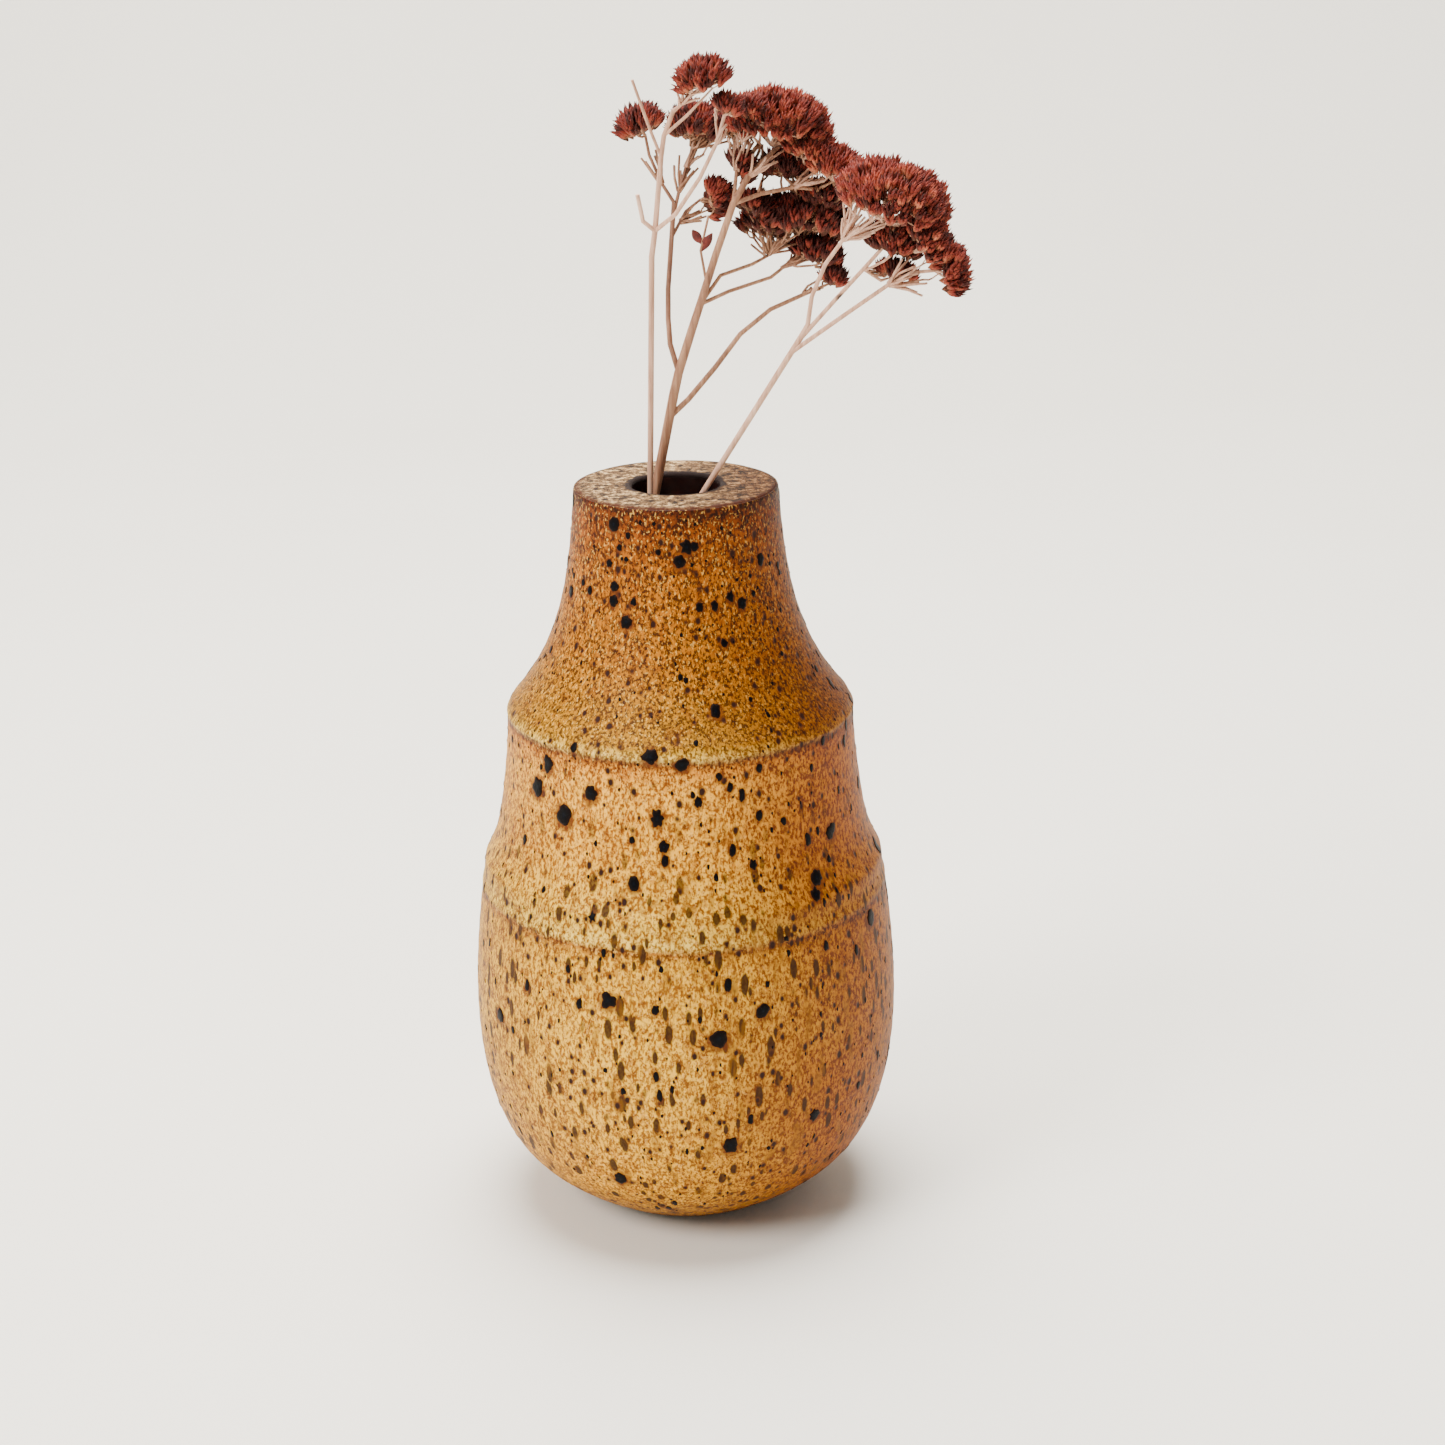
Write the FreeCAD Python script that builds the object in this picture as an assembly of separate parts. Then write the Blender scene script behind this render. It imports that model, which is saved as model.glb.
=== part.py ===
import FreeCAD, Part
import math
import os

V = FreeCAD.Vector

# A wheel-thrown bud vase with three dried stonecrop stems. Millimetres, +Z up.
# The origin is the middle of the flat foot. -Y is the front.

# Outline of the vase, as (radius, height) at each place where the curve changes
HEIGHT = 165.0
FOOT_R = 21.1
BELLY = [(FOOT_R, 0.0), (30.1, 5.6), (38.3, 12.9), (46.3, 33.7), (47.2, 44.6), (46.0, 67.2), (44.9, 76.0)]
SHOULDER = [(44.1, 81.6), (41.2, 88.3), (39.5, 97.4), (38.3, 107.7), (37.9, 115.6)]
NECK = [(36.9, 117.8), (32.9, 122.8), (26.3, 136.6), (23.5, 149.4), (22.0, 164.2)]
RIM_ROUND = 0.8

# Wall, floor and glaze
WALL = 5.9
FLOOR_Z = 6.0
FLOOR_R = 22.0
GLAZE = 0.4
GLAZE_START_Z = 2.0
LINER_TOP_Z = 164.0

# The round hole through the flat rim plate
MOUTH_R = 9.5
MOUTH_EDGE_ROUND = 0.8
RIM_PLATE_UNDERSIDE_Z = 157.0
UNDER_PLATE_R = 16.4
UNDER_PLATE_Z = 151.0

# Each stem slides out along its own straight stalk. An axis gives the X and Y travelled for each millimetre of Z.
# The left and right stems keep to the front (Y below 0) and the middle stem to the back, so they never meet.
LEFT_MOUTH = V(-5.4, -1.8, HEIGHT)
LEFT_AXIS = V(0.03, -0.02, 1.0)
MIDDLE_MOUTH = V(-4.0, 1.8, HEIGHT)
MIDDLE_AXIS = V(0.21, 0.0, 1.0)
RIGHT_MOUTH = V(6.4, -5.0, HEIGHT)
RIGHT_AXIS = V(0.634, -0.02, 1.0)

# Height of each stalk's lower end inside the vase, and of the top of its straight length
LEFT_STRAIGHT = (8.0, 214.0)
MIDDLE_STRAIGHT = (30.0, 184.0)
RIGHT_STRAIGHT = (108.0, 197.0)

# Each flower head: centre of its widest line, lean, widest radius, dome height above that line, depth below it
HEADS = {
    "left_top_head": ((7.4, -8.0, 251.5), (-0.2, -0.1, 1), 6.3, 4.6, 3.2),
    "left_side_head": ((12.4, -8.0, 246.0), (0.3, -0.1, 1), 3.8, 2.8, 2.2),
    "dark_left_head": ((-5.9, 8.0, 240.4), (-0.35, 0.1, 1), 5.8, 4.6, 3.0),
    "dark_right_head": ((5.5, 12.0, 239.0), (0.1, 0.2, 1), 6.4, 6.2, 4.8),
    "dark_low_head": ((9.4, 10.0, 224.7), (1, 0.2, 0.3), 4.9, 4.8, 3.4),
    "middle_top_head": ((22.2, 11.4, 239.0), (0.15, 0.05, 1), 10.6, 8.5, 4.5),
    "middle_side_head": ((35.4, 9.0, 230.4), (0.35, 0.0, 1), 7.3, 5.2, 3.2),
    "far_head": ((27.0, 17.0, 217.2), (0.1, 0.25, 1), 11.6, 7.6, 5.0),
    "far_small_head": ((34.6, 13.4, 207.4), (0.3, 0.0, 1), 3.6, 3.0, 2.4),
    "right_top_head": ((45.3, -12.5, 226.0), (0.35, -0.1, 1), 11.2, 9.2, 5.0),
    "right_side_head": ((57.0, -14.5, 213.4), (1, -0.1, 0.4), 6.2, 4.8, 3.4),
    "right_under_head": ((46.5, -5.9, 211.6), (0.2, 0.1, 1), 4.7, 2.8, 2.0),
}
HEAD_BASE_SHARE = 0.36
HEAD_TOP_SHARE = 0.08


def spline(points):
    """A smooth edge through (radius, height) points."""
    curve = Part.BSplineCurve()
    curve.interpolate([V(r, 0, z) for r, z in points])
    return curve.toShape()


def line(start, end):
    """A straight edge between two (radius, height) points."""
    return Part.makeLine(V(start[0], 0, start[1]), V(end[0], 0, end[1]))


def quarter_round(start, middle, end):
    """An arc edge through three (radius, height) points."""
    return Part.Arc(*[V(r, 0, z) for r, z in (start, middle, end)]).toShape()


def turned(edges):
    """The solid made by turning a closed outline about the Z axis."""
    face = Part.Face(Part.Wire(edges))
    return face.revolve(V(0, 0, 0), V(0, 0, 1), 360)


def thrown_form(inset):
    """The whole outside of the vase, filled in, with every radius smaller by inset."""
    belly, shoulder, neck = [[(r - inset, z) for r, z in part] for part in (BELLY, SHOULDER, NECK)]
    rim_r = neck[-1][0]
    slack = RIM_ROUND * (1 - math.sqrt(0.5))
    rim_edge = (rim_r - RIM_ROUND, HEIGHT)
    return turned([
        line((0, 0), belly[0]),
        spline(belly),
        line(belly[-1], shoulder[0]),
        spline(shoulder),
        line(shoulder[-1], neck[0]),
        spline(neck),
        quarter_round(neck[-1], (rim_r - slack, HEIGHT - slack), rim_edge),
        line(rim_edge, (0, HEIGHT)),
        line((0, HEIGHT), (0, 0)),
    ])


def hollow_form(outset):
    """The open space inside the vase and its mouth, with every radius larger by outset."""
    wall_points = BELLY[2:-1] + SHOULDER[1:] + NECK[1:-1]
    inside = [(r - WALL + outset, z) for r, z in wall_points]
    floor_z = FLOOR_Z - outset
    floor_edge = (FLOOR_R + outset, floor_z)
    under_plate = (UNDER_PLATE_R + outset, UNDER_PLATE_Z)
    bore_r = MOUTH_R + outset
    bore_top = (bore_r, HEIGHT - MOUTH_EDGE_ROUND)
    slack = MOUTH_EDGE_ROUND * (1 - math.sqrt(0.5))
    lip = (bore_r + MOUTH_EDGE_ROUND, HEIGHT)
    above = HEIGHT + 1.0
    return turned([
        line((0, floor_z), floor_edge),
        spline([floor_edge] + inside + [under_plate]),
        line(under_plate, (bore_r, RIM_PLATE_UNDERSIDE_Z)),
        line((bore_r, RIM_PLATE_UNDERSIDE_Z), bore_top),
        quarter_round(bore_top, (bore_r + slack, HEIGHT - slack), lip),
        line(lip, (lip[0], above)),
        line((lip[0], above), (0, above)),
        line((0, above), (0, floor_z)),
    ])


def slab(bottom, top):
    """A square block wider than the vase, between two heights."""
    side = 200.0
    return Part.makeBox(side, side, top - bottom, V(-side / 2, -side / 2, bottom))


def vase():
    """The fired clay, divided at its two ridges, and its two coats of glaze."""
    whole = thrown_form(0)
    hollow = hollow_form(0)
    outer_glaze = whole.cut(thrown_form(GLAZE)).cut(slab(-1, GLAZE_START_Z))
    liner_glaze = hollow_form(GLAZE).cut(hollow).cut(slab(LINER_TOP_Z, HEIGHT + 2))
    clay = whole.cut(hollow).cut(outer_glaze).cut(liner_glaze)
    lower_ridge_z = BELLY[-1][1]
    upper_ridge_z = SHOULDER[-1][1]
    return {
        "clay_belly": clay.common(slab(-1, lower_ridge_z)),
        "clay_shoulder": clay.common(slab(lower_ridge_z, upper_ridge_z)),
        "clay_neck": clay.common(slab(upper_ridge_z, HEIGHT + 1)),
        "outer_glaze": outer_glaze,
        "liner_glaze": liner_glaze,
    }


def on_axis(mouth, axis, z):
    """The point at height z on a stalk's straight line."""
    return mouth + axis * (z - mouth.z)


def section(centre, direction, radius):
    """A circle across a stalk, always started on the same side so that neighbours line up."""
    side = V(0, 1, 0).cross(direction).normalize()
    other = direction.cross(side).normalize()
    circle = Part.Circle(centre + side * radius, centre + other * radius, centre - side * radius)
    return Part.Wire(circle.toShape())


def head_rotation(head):
    """How a flower head is turned from upright to its lean."""
    return FreeCAD.Rotation(V(0, 0, 1), V(*HEADS[head][1]))


def under_head(head, shift):
    """A point on the flat base of a flower head, shifted sideways from its middle."""
    centre, _, _, _, under = HEADS[head]
    return V(*centre) + head_rotation(head).multVec(V(shift, 0, -under))


def twig(points, start_r, end_r, head=None, shift=0.0):
    """A tapering stalk through a list of points, which can end flat against a flower head's base."""
    points = [V(*point) for point in points]
    if head:
        points.append(under_head(head, shift))
    last = len(points) - 1
    sections = []
    for i, point in enumerate(points):
        direction = V(0, 0, 0)
        for step in (points[min(i + 1, last)] - point, point - points[max(i - 1, 0)]):
            if step.Length > 0:
                direction += step / step.Length
        if head and i == last:
            direction = head_rotation(head).multVec(V(0, 0, 1))
        radius = start_r + (end_r - start_r) * i / last
        sections.append(section(point, direction.normalize(), radius))
    return Part.makeLoft(sections, True, True)


def flower_head(head):
    """A dome with a rounded underside, a small flat base and a tiny flat top."""
    centre, _, radius, dome, under = HEADS[head]
    base_r = HEAD_BASE_SHARE * radius
    top_r = HEAD_TOP_SHARE * radius
    bulge = (base_r + 0.75 * (radius - base_r), -0.6 * under)
    slope = (radius * math.cos(math.pi / 4), dome * math.sin(math.pi / 4))
    solid = turned([
        line((0, -under), (base_r, -under)),
        spline([(base_r, -under), bulge, (radius, 0), slope, (top_r, dome)]),
        line((top_r, dome), (0, dome)),
        line((0, dome), (0, -under)),
    ])
    solid.Placement = FreeCAD.Placement(V(*centre), head_rotation(head))
    return solid


def leaf(base, lean, length, width, thickness):
    """A small shrivelled leaf, as a thin pointed plate that grows from its base point."""
    tip = V(0, 0, length)
    right_edge = Part.Arc(V(0, 0, 0), V(width / 2, 0, length / 2), tip).toShape()
    left_edge = Part.Arc(tip, V(-width / 2, 0, length / 2), V(0, 0, 0)).toShape()
    plate = Part.Face(Part.Wire([right_edge, left_edge])).extrude(V(0, thickness, 0))
    plate.Placement = FreeCAD.Placement(V(*base), FreeCAD.Rotation(V(0, 0, 1), V(*lean)))
    return plate


def left_stem():
    """The branches of the pale, nearly upright stem at the front left."""
    low, high = [on_axis(LEFT_MOUTH, LEFT_AXIS, z) for z in LEFT_STRAIGHT]
    fork = (-3.1, -3.2, 219.4)
    upper_fork = (-1.5, -5.0, 234.7)
    top_fork = (-0.8, -5.5, 239.0)
    return {
        "left_stalk": twig(
            [low, high, fork, (-2.3, -4.2, 227), upper_fork, top_fork, (1.2, -6, 244)],
            0.65, 0.45, "left_top_head", -1.3),
        "left_snapped_stub": twig([fork, (-5.5, -4.5, 221.6), (-6.5, -5.5, 227.2)], 0.5, 0.45),
        "left_bare_twig": twig([upper_fork, (-3.9, -7, 241.4), (-6.9, -9, 250.6)], 0.35, 0.3),
        "left_side_branch": twig(
            [fork, (1.2, -6, 223.1), (6.4, -8, 230.8), (10, -9, 238)], 0.5, 0.35, "left_side_head"),
        "left_top_fork": twig([top_fork, (4, -7, 243.2)], 0.35, 0.3, "left_top_head", 1.3),
    }


def middle_stem():
    """The branches of the thick tan stem, which carries most of the flower heads."""
    low, high = [on_axis(MIDDLE_MOUTH, MIDDLE_AXIS, z) for z in MIDDLE_STRAIGHT]
    elbow = (1.1, 1.9, 188.6)
    mid_fork = (5.9, 2.6, 202.9)
    top_fork = (13.2, 5.0, 223.5)
    dark_fork = (0.8, 6.5, 223.7)
    far_start = on_axis(MIDDLE_MOUTH, MIDDLE_AXIS, 179.0)
    return {
        "middle_stalk": twig(
            [low, high, elbow, (4.1, 2.2, 197.7), mid_fork, (9.4, 3.8, 213.2), top_fork, (16.5, 7, 229)],
            1.1, 0.6, "middle_top_head", 1.4),
        "middle_left_twig": twig([top_fork, (14, 8, 230)], 0.45, 0.35, "middle_top_head", -2.4),
        "middle_right_twig": twig(
            [top_fork, (19, 7, 225.2), (26, 8, 226.3), (31, 8.8, 225.6)], 0.5, 0.35, "middle_side_head"),
        "dark_branch": twig(
            [elbow, (-0.6, 3.2, 194.5), (-0.9, 4, 199.7), (-0.8, 5, 205.8), (0.3, 6, 218.2), dark_fork],
            0.6, 0.5),
        "dark_left_twig": twig([dark_fork, (-1.6, 7, 227.5), (-4.2, 7.5, 233.5)], 0.4, 0.3, "dark_left_head"),
        "dark_right_twig": twig([(0.5, 6.2, 220.6), (1.9, 7.4, 226), (3.4, 9, 230.6)], 0.4, 0.3, "dark_right_head"),
        "dark_low_twig": twig([(0.2, 5.9, 216.6), (3.2, 8.2, 221.6)], 0.35, 0.3, "dark_low_head"),
        "far_branch": twig(
            [far_start, (3, 2.6, 182.6), (8.9, 4, 189.2), (14.3, 6, 195.8), (20.8, 8.6, 200.5),
             (28, 11.8, 203)],
            0.65, 0.4, "far_small_head"),
        "inner_branch": twig([mid_fork, (10.3, 5.2, 208.5), (17, 9.5, 210)], 0.45, 0.35, "far_head", -2.4),
        "lower_branch": twig([mid_fork, (12, 5.8, 205), (21, 10.5, 207)], 0.45, 0.35, "far_head", 2.4),
        "leaf_twig": twig([(7.3, 3.1, 207.4), (6.2, 4, 214), (8, 6, 221)], 0.3, 0.25),
        "withered_leaves": Part.makeCompound([
            leaf((6.2, 3.8, 213.8), (0.8, 0, 1), 4.0, 1.6, 0.4),
            leaf((6.5, 4.2, 215.4), (-0.7, 0, 1), 3.4, 1.4, 0.4),
        ]),
    }


def right_stem():
    """The branches of the slim pale stem that leans far over to the right."""
    low, high = [on_axis(RIGHT_MOUTH, RIGHT_AXIS, z) for z in RIGHT_STRAIGHT]
    fork = (28.2, -5.9, 199.6)
    low_fork = on_axis(RIGHT_MOUTH, RIGHT_AXIS, 194.0)
    middle_start = on_axis(RIGHT_MOUTH, RIGHT_AXIS, 196.6)
    middle_fork = (39.7, -8.8, 211.8)
    return {
        "right_stalk": twig([low, high, fork], 0.65, 0.6),
        "right_upright_branch": twig(
            [fork, (29.1, -6.5, 205.8), (31.8, -7.8, 212.6), (35.5, -9.5, 218)],
            0.5, 0.35, "right_top_head", -2.4),
        "right_middle_branch": twig(
            [middle_start, (33.4, -7, 204.6), middle_fork, (43.6, -11, 216.6)], 0.5, 0.35, "right_top_head", 1.6),
        "right_low_branch": twig(
            [low_fork, (36.4, -9, 202.8), (44.6, -12, 209.0), (50, -13.8, 211.8)], 0.5, 0.35, "right_side_head"),
        "right_short_twig": twig([middle_fork, (43.4, -6.9, 209)], 0.4, 0.3, "right_under_head"),
    }


def cut_where_they_meet(branches):
    """Each branch cut back to the face of the branches that it grows from."""
    settled = {}
    for name, shape in branches.items():
        for earlier in settled.values():
            if shape.BoundBox.intersect(earlier.BoundBox):
                shape = shape.cut(earlier)
        if name != "withered_leaves":
            shape = max(shape.Solids, key=lambda solid: solid.Volume)
        settled[name] = shape
    return settled


def main():
    os.makedirs("parts", exist_ok=True)
    pieces = vase()
    for stem in (left_stem, middle_stem, right_stem):
        pieces.update(cut_where_they_meet(stem()))
    for head in HEADS:
        pieces[head] = flower_head(head)
    for name, shape in pieces.items():
        shape.exportStep(f"parts/{name}.step")
        print(f"{name:22} solids {len(shape.Solids)}  valid {shape.isValid()}  volume {shape.Volume:10.1f}")


main()
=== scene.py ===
import math
import random

import bpy
import numpy as np
from mathutils import Matrix, Vector


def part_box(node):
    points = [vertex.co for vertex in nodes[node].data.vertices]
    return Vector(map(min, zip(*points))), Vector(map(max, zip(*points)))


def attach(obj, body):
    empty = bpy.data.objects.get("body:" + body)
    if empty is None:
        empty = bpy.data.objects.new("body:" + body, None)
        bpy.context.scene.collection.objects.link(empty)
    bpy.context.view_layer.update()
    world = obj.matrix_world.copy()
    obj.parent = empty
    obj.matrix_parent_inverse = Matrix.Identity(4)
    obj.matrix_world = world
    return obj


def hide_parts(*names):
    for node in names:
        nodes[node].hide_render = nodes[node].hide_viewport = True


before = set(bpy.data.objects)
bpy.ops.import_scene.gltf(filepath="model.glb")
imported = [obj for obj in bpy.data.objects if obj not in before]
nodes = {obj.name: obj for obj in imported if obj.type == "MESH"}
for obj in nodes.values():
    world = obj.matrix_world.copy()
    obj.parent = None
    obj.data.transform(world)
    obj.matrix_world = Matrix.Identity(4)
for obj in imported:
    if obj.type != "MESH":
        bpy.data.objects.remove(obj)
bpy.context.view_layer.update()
MM = 0.001

# Heights of the rim and of the two ridges, in metres
RIM_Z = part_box("clay_neck")[1].z
UPPER_RIDGE_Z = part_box("clay_neck")[0].z
LOWER_RIDGE_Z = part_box("clay_shoulder")[0].z


# ---------------------------------------------------------------- helpers

def noise_wave(seed, count, lowest=1, highest=9):
    """A smooth function of angle that repeats each turn, between about -1 and 1."""
    rng = random.Random(seed)
    waves = []
    for _ in range(count):
        turns, phase, weight = rng.randint(lowest, highest), rng.uniform(0, math.tau), rng.uniform(0.4, 1)
        waves.append((turns, phase, weight))
    total = sum(weight for _, _, weight in waves)
    return lambda angle: sum(weight * np.sin(turns * angle + phase) for turns, phase, weight in waves) / total


def bump_at(z, centre, width):
    """A bell curve of height, 1 at its centre."""
    return np.exp(-((z - centre) / width) ** 2)


def srgb(red, green, blue):
    """A colour given as 0-255 screen values, as the linear colour that a shader takes."""
    def linear(value):
        share = value / 255
        return share / 12.92 if share <= 0.04045 else ((share + 0.055) / 1.055) ** 2.4
    return (linear(red), linear(green), linear(blue), 1.0)


def mesh_object(name, vertices, faces, material):
    """A smooth-shaded object with one material."""
    mesh = bpy.data.meshes.new(name)
    mesh.from_pydata([tuple(v) for v in vertices], [], faces)
    mesh.update()
    mesh.shade_smooth()
    mesh.materials.append(material)
    obj = bpy.data.objects.new(name, mesh)
    bpy.context.scene.collection.objects.link(obj)
    return obj


def float_attribute(obj, name, values):
    """Gives every corner point of a mesh a number that its material can read."""
    attribute = obj.data.attributes.new(name, "FLOAT", "POINT")
    attribute.data.foreach_set("value", np.asarray(values, np.float32))


def node_points(name):
    """The corner points of a CAD node's mesh."""
    return np.array([v.co[:] for v in nodes[name].data.vertices])


# ---------------------------------------------------------------- material building blocks

class Shader:
    """A material's node tree, with short calls for the nodes used here."""

    def __init__(self, name):
        self.material = bpy.data.materials.new(name)
        self.material.use_nodes = True
        self.tree = self.material.node_tree
        self.surface = self.tree.nodes["Principled BSDF"]
        self.coords = self.add("ShaderNodeTexCoord").outputs["Object"]
        split = self.add("ShaderNodeSeparateXYZ", Vector=self.coords)
        self.x, self.y, self.z = split.outputs

    def add(self, kind, **inputs):
        node = self.tree.nodes.new(kind)
        for name, value in inputs.items():
            self.set(node.inputs[name.replace("_", " ")], value)
        return node

    def set(self, socket, value):
        if isinstance(value, bpy.types.NodeSocket):
            self.tree.links.new(value, socket)
        else:
            socket.default_value = value

    def math(self, operation, a, b=0.0, clamp=False):
        node = self.tree.nodes.new("ShaderNodeMath")
        node.operation = operation
        node.use_clamp = clamp
        self.set(node.inputs[0], a)
        self.set(node.inputs[1], b)
        return node.outputs[0]

    def ramp(self, factor, stops):
        """A colour ramp through (position, colour) stops."""
        node = self.tree.nodes.new("ShaderNodeValToRGB")
        self.set(node.inputs[0], factor)
        elements = node.color_ramp.elements
        while len(elements) < len(stops):
            elements.new(0.5)
        for element, (position, colour) in zip(elements, stops):
            element.position = position
            element.color = colour
        return node.outputs[0]

    def fade(self, value, low, high):
        """0 below low, 1 above high and smooth between, or the other way round."""
        node = self.tree.nodes.new("ShaderNodeMapRange")
        node.interpolation_type = "SMOOTHSTEP"
        turned = low > high
        self.set(node.inputs["Value"], value)
        self.set(node.inputs["From Min"], min(low, high))
        self.set(node.inputs["From Max"], max(low, high))
        self.set(node.inputs["To Min"], 1.0 if turned else 0.0)
        self.set(node.inputs["To Max"], 0.0 if turned else 1.0)
        return node.outputs["Result"]

    def mix(self, factor, first, second, blend="MIX"):
        node = self.tree.nodes.new("ShaderNodeMix")
        node.data_type = "RGBA"
        node.blend_type = blend
        self.set(node.inputs["Factor"], factor)
        self.set(node.inputs[6], first)
        self.set(node.inputs[7], second)
        return node.outputs[2]

    def stretched(self, x=1.0, y=1.0, z=1.0):
        node = self.tree.nodes.new("ShaderNodeVectorMath")
        node.operation = "MULTIPLY"
        self.set(node.inputs[0], self.coords)
        node.inputs[1].default_value = (x, y, z)
        return node.outputs[0]

    def noise(self, scale, detail=3.0, roughness=0.55, vector=None):
        node = self.add("ShaderNodeTexNoise", Vector=vector or self.coords, Scale=scale, Detail=detail,
                        Roughness=roughness)
        return node.outputs["Fac"]

    def spots(self, scale, smallest, largest, share, vector=None, soft=0.35):
        """Round spots in a share of the cells. Radii are in cell widths."""
        node = self.add("ShaderNodeTexVoronoi", Vector=vector or self.coords, Scale=scale)
        distance = node.outputs["Distance"]
        number = self.add("ShaderNodeSeparateColor", Color=node.outputs["Color"]).outputs[0]
        chosen = self.math("DIVIDE", self.math("SUBTRACT", number, 1 - share), share, clamp=True)
        radius = self.math("ADD", self.math("MULTIPLY", chosen, largest - smallest), smallest)
        present = self.math("GREATER_THAN", number, 1 - share)
        depth = self.math("SUBTRACT", radius, distance)
        inside = self.math("DIVIDE", depth, self.math("MULTIPLY", radius, soft), clamp=True)
        return self.math("MULTIPLY", inside, present)

    def attribute(self, name):
        node = self.tree.nodes.new("ShaderNodeAttribute")
        node.attribute_name = name
        return node.outputs["Fac"]

    def finish(self, colour, roughness, height=None, bump_mm=0.1, **constants):
        self.set(self.surface.inputs["Base Color"], colour)
        self.set(self.surface.inputs["Roughness"], roughness)
        for name, value in constants.items():
            self.surface.inputs[name.replace("_", " ")].default_value = value
        if height is not None:
            bump = self.add("ShaderNodeBump", Height=height, Distance=bump_mm * MM, Strength=1.0)
            self.set(self.surface.inputs["Normal"], bump.outputs["Normal"])
        return self.material


# ---------------------------------------------------------------- materials

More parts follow.
